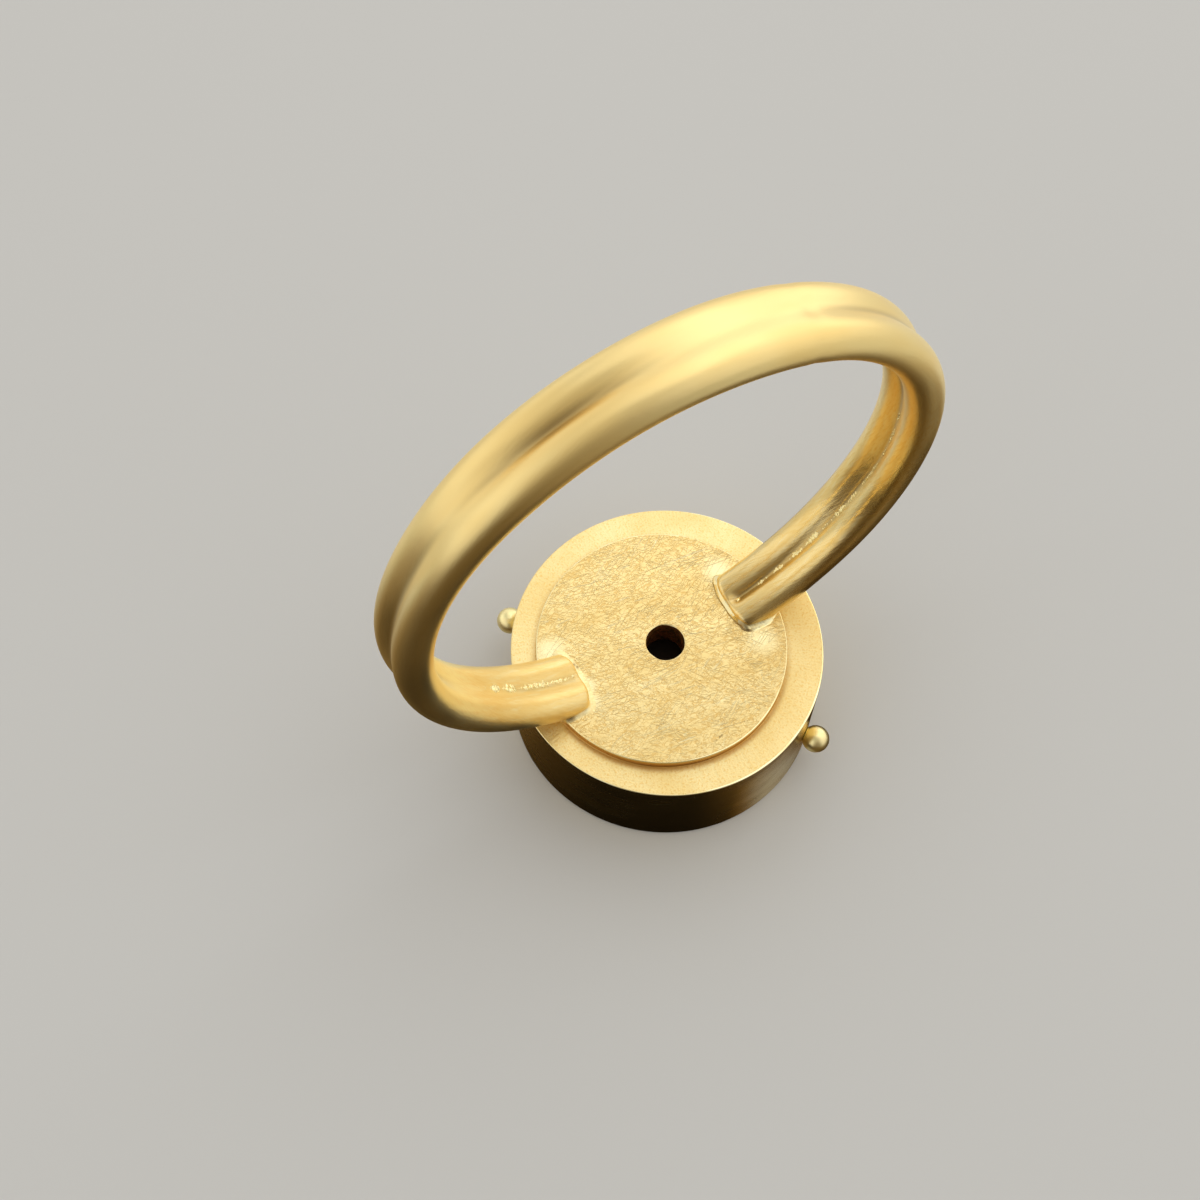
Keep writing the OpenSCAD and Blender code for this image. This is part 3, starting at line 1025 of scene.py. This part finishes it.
def wire_gold():
    """Satin gold with strokes along the wires, shinier on the right leg and darker in the groove, with
    painted shade on stretches and a painted reflection inside the left bend.
    """
    s = material("satin_gold_wire")
    along, _, outward = s.axes(s.on_grain())
    right_leg = s.ramp(along, 14, 22, 1, 0)
    left_leg = s.ramp(along, 46, 51)
    legs = s.maths("ADD", right_leg, left_leg)
    fine = s.noise(s.on_grain((2.0, 13, 13), 14))
    streaks = s.noise(s.on_grain((0.9, 6, 6), -4), detail=3.0)
    soft = s.noise(s.on_grain((0.25, 0.8, 0.8)))
    # Painted reflection: paler gold on the inside of the left leg's bend
    painted_bend_reflection = s.times(s.ramp(along, 43.5, 46), s.ramp(along, 49.5, 52, 1, 0))
    painted_bend_reflection = s.times(painted_bend_reflection, s.ramp(outward, -0.45, 0.05, 1, 0))
    brushed = s.maths("ADD", right_leg, s.times(left_leg, 0.4))
    colour = s.two_tone(soft, PALE_GOLD, WARM_GOLD)
    colour = s.blend(painted_bend_reflection, colour, BEND_REFLECTION_GOLD)
    colour = s.blend(s.times(s.ramp(streaks, 0.5, 0.7, 0, 0.15), legs), colour, DEEP_GOLD)
    colour = s.blend(s.times(s.ramp(streaks, 0.32, 0.5, 0.3, 0), legs), colour, RUBBED_GOLD)
    colour = s.blend(s.times(s.ramp(fine, 0.48, 0.66, 0, 0.45), brushed), colour, DEEP_GOLD)
    colour = s.blend(s.ramp(along, 9, 12, 0.25, 0), colour, DULL_GOLD)
    # Darker groove and painted shade that the shank holds
    colour = s.blend(s.dark_marks_and_shade_share(), colour, TARNISH_AND_SHADE_BROWN)
    roughness = s.maths("ADD", s.ramp(along, 8, 24, 0.22, 0.35), s.ramp(along, 46, 51, 0, 0.04))
    roughness = s.maths("ADD", roughness, s.finish(soft, 0, 0.08))
    normal = s.height(fine, 0.003)
    normal = s.height(s.times(fine, legs), 0.005, normal)
    normal = s.height(s.times(streaks, legs), 0.004, normal)
    return s.metal(colour, roughness, normal)


def solder_base(s, lightest, darkest, low, depth):
    """Colour and normal of flowed solder, and the noise of its finish."""
    soft = s.noise(s.on_grain((3, 3, 3)))
    fine = s.noise(s.on_grain((12, 12, 12)))
    return s.two_tone(soft, lightest, darkest), s.height(fine, 0.012 * low, s.height(soft, depth)), soft


def satin_solder_gold():
    """Satin solder of the left end, which goes over into the brushed pad."""
    s = material("satin_gold_solder")
    low, high = 0.3, 0.4
    colour, normal, soft = solder_base(s, RUBBED_GOLD, BRIGHT_GOLD, low, 0.006)
    colour = s.blend(s.ramp(s.axes(s.on_grain())[2], PAD_TOP, PAD_TOP + 0.07, 1, 0), colour, BRIGHT_GOLD)
    # Dark pits, and painted shade where the left leg crosses the pad's edge
    colour = s.blend(s.times(s.dark_marks_and_shade_share(), 0.8), colour, TARNISH_AND_SHADE_BROWN)
    dark = brush_strokes(s)
    colour = s.blend(s.times(dark, 0.25), colour, STROKE_GOLD)
    return s.metal(colour, s.finish(soft, low, high), s.height(s.without(dark), 0.003, normal))


def bright_solder_gold():
    """Polished solder of the right end, with small pits, painted shadow round its foot and painted shade at
    its front corner.
    """
    s = material("bright_gold_solder")
    low, high = 0.12, 0.22
    colour, normal, soft = solder_base(s, COLLAR_GOLD, PALE_GOLD, low, 0.016)
    pits = s.ramp(s.noise(s.on_grain((4, 4, 4)), detail=1.0), 0.73, 0.78)
    colour = s.blend(s.times(pits, 0.7), colour, TARNISH_AND_SHADE_BROWN)
    # Painted shadow round the foot, and painted shade at the front corner
    colour = s.blend(s.times(s.dark_marks_and_shade_share(), 0.8), colour, TARNISH_AND_SHADE_BROWN)
    return s.metal(colour, s.finish(soft, low, high), normal)


def seam_gold():
    """Rough crumbly solder that glitters."""
    s = material("rough_gold_seam")
    crumbs = s.noise(s.on_grain((11, 11, 11)), rough=0.7)
    colour = s.blend(s.ramp(crumbs, 0.35, 0.65), BRIGHT_GOLD, GRANULE_GOLD)
    return s.metal(colour, s.finish(crumbs, 0.36, 0.22), s.height(crumbs, 0.014))


def granule_gold():
    """Half polished warm gold of the granules."""
    s = material("shiny_gold_granule")
    soft = s.noise(s.on_grain((2.5, 2.5, 2.5)))
    colour = s.two_tone(soft, GRANULE_GOLD, BRIGHT_GOLD)
    return s.metal(colour, s.finish(soft, 0.28, 0.38), s.height(soft, 0.008))


def opal_front():
    """Milky stone with soft patches of green, blue, violet and orange."""
    s = material("opal_play_of_colour")
    place = s.on_part()
    swirl = s.add("ShaderNodeTexNoise", {"Vector": place, "Scale": 0.8}).outputs["Color"]
    bent = s.vectors("ADD", place, swirl)[0]
    large, small = (
        s.add("ShaderNodeTexVoronoi", {"Vector": bent, "Scale": scale, "Randomness": 1.0}).outputs["Color"]
        for scale in (0.9, 2.6)
    )
    large = s.add("ShaderNodeSeparateColor", {0: large}).outputs[0]
    small = s.add("ShaderNodeSeparateColor", {0: small}).outputs[1]
    play = s.add("ShaderNodeValToRGB", {0: s.maths("ADD", s.times(large, 0.65), s.times(small, 0.35))})
    stops = play.color_ramp.elements
    for stop, (position, colour) in zip(stops, (OPAL_PLAY[0], OPAL_PLAY[-1])):
        stop.position = position
        stop.color = (*colour, 1)
    for position, colour in OPAL_PLAY[1:-1]:
        stops.new(position).color = (*colour, 1)
    milk = s.ramp(s.noise(place, 0.7, 3.0), 0.35, 0.65, 0.35, 0.8)
    s.set(Base_Color=s.blend(milk, play.outputs[0], OPAL_MILK), Roughness=0.08, IOR=1.45)
    s.set(Coat_Weight=0.6, Coat_Roughness=0.03)
    return s.made


def opal_back():
    """Dull dark back of the stone."""
    s = material("opal_dark_back")
    soft = s.noise(s.on_part((0.8, 0.8, 0.8)), detail=4.0)
    s.set(Base_Color=s.blend(soft, OPAL_DARK, OPAL_BROWN), Roughness=0.6, Normal=s.height(soft, 0.03))
    return s.made


# Stage


def floor_gloss(s):
    """Colour of the floor in the gold, warm in the painted shades and with painted light towards one side.
    """
    place = s.on_part()
    way = s.vectors("NORMALIZE", place)[0]
    bright = s.vectors("DOT_PRODUCT", way, FLOOR_BRIGHT_SIDE)["Value"]
    light = s.ramp(bright, -0.95, 0.0, *FLOOR_BRIGHTNESS)
    for spot, stretch, low, high, least in FLOOR_SHADES:
        light = s.times(light, s.spot(place, spot, low, high, least, 1, stretch))
    light = s.maths("MAXIMUM", light, s.spot(place, *FLOOR_LIGHT))
    tint = s.blend(s.ramp(light, 0.09, 0.5), FLOOR_DIM_TINT, FLOOR_LIT_TINT)
    return s.blend(light, (0, 0, 0), tint)


def floor():
    """Plain pale floor. The gold mirrors it with painted shade in front on the left and near the ring."""
    half = FLOOR_HALF * MM
    mesh = bpy.data.meshes.new("floor")
    corners = [(-half, -half, 0), (half, -half, 0), (half, half, 0), (-half, half, 0)]
    mesh.from_pydata(corners, [], [(0, 1, 2, 3)])
    s = material("pale_floor")
    glossy = s.add("ShaderNodeLightPath").outputs["Is Glossy Ray"]
    s.set(Base_Color=s.blend(glossy, FLOOR_COLOUR, floor_gloss(s)), Roughness=0.9, Specular_IOR_Level=0.1)
    mesh.materials.append(s.made)
    shown("floor", mesh)


def softbox(name, place, size, glow):
    """A flat area light in millimetres that faces the ring, with the brightness of its face."""
    light = bpy.data.lights.new(name, "AREA")
    light.shape = "RECTANGLE"
    light.size = size[0] * MM
    light.size_y = size[1] * MM
    light.energy = glow * np.pi * light.size * light.size_y
    thing = shown(name, light)
    thing.location = Vector(place) * MM
    thing.rotation_mode = "QUATERNION"
    thing.rotation_quaternion = (Vector(BOX_AIM) - Vector(place)).to_track_quat("-Z", "Y")


def direction(azimuth, height):
    """The direction at an azimuth and a height in degrees."""
    side = np.radians(azimuth)
    rise = np.radians(height)
    return np.cos(rise) * np.cos(side), np.cos(rise) * np.sin(side), np.sin(rise)


def sky():
    """Soft light from all round, with a bright window on the right and a dark card in front on the left."""
    world = bpy.data.worlds.new("soft_sky")
    bpy.context.scene.world = world
    s = Shader(world, "Background")
    way = s.add("ShaderNodeTexCoord").outputs["Generated"]
    light = SKY_LIGHT
    for azimuth, height, inner, outer, colour, strength in SKY_PATCHES:
        near = s.vectors("DOT_PRODUCT", way, direction(azimuth, height))["Value"]
        share = s.ramp(near, np.cos(np.radians(outer)), np.cos(np.radians(inner)), 0, strength)
        light = s.blend(share, light, colour)
    seen = s.add("ShaderNodeLightPath").outputs["Is Camera Ray"]
    s.set(Color=s.blend(seen, light, BACKDROP))


def camera():
    """Camera at the photograph's viewing angle."""
    data = bpy.data.cameras.new("camera")
    data.lens = CAMERA_LENS
    data.sensor_width = CAMERA_SENSOR
    data.clip_start = 0.001
    data.clip_end = 10
    thing = shown("camera", data)
    axes = Matrix((CAMERA_RIGHT, CAMERA_UP, CAMERA_BACK)).transposed().to_4x4()
    thing.matrix_world = Matrix.Translation(Vector(CAMERA_PLACE) * MM) @ axes
    bpy.context.scene.camera = thing


# Scene

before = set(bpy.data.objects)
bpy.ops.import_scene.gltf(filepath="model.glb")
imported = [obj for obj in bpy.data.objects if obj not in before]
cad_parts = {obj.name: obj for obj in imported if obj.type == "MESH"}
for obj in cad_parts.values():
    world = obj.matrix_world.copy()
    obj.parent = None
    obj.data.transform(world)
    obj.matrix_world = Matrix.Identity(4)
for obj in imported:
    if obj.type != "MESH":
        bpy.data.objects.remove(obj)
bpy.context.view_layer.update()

edge_look = edge_gold()
hole_look = hole_gold()
shell = drum([rim_gold(), wall_gold(), inner_gold(), hole_look, edge_look])
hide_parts("gold_ring")
pad([pad_gold(), hole_look, edge_look, pad_side_gold()])
shank([wire_gold()])
solder("solder_left", LEFT_END, LEFT_SOLDER, -1, satin_solder_gold())
solder("solder_right", RIGHT_END, RIGHT_SOLDER, 1, bright_solder_gold())
seam_look = seam_gold()
seam("seam_left", 304, 336.5, 1.15, 0.08, (0.26, 0.18), [seam_look])
seam("seam_right", 23, 98, 1.1, -0.09, (0.24, 0.06), [seam_look])
granule_look = granule_gold()
for number, angle in enumerate(GRANULE_ANGLES, 1):
    granule(f"granule_{number}", angle, [granule_look])
stone = opal([opal_front(), opal_back()])
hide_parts("opal")

floor()
sky()
softbox("key_softbox", *KEY_BOX)
softbox("side_softbox", *SIDE_BOX)
camera()
bpy.context.scene.view_settings.view_transform = "Standard"
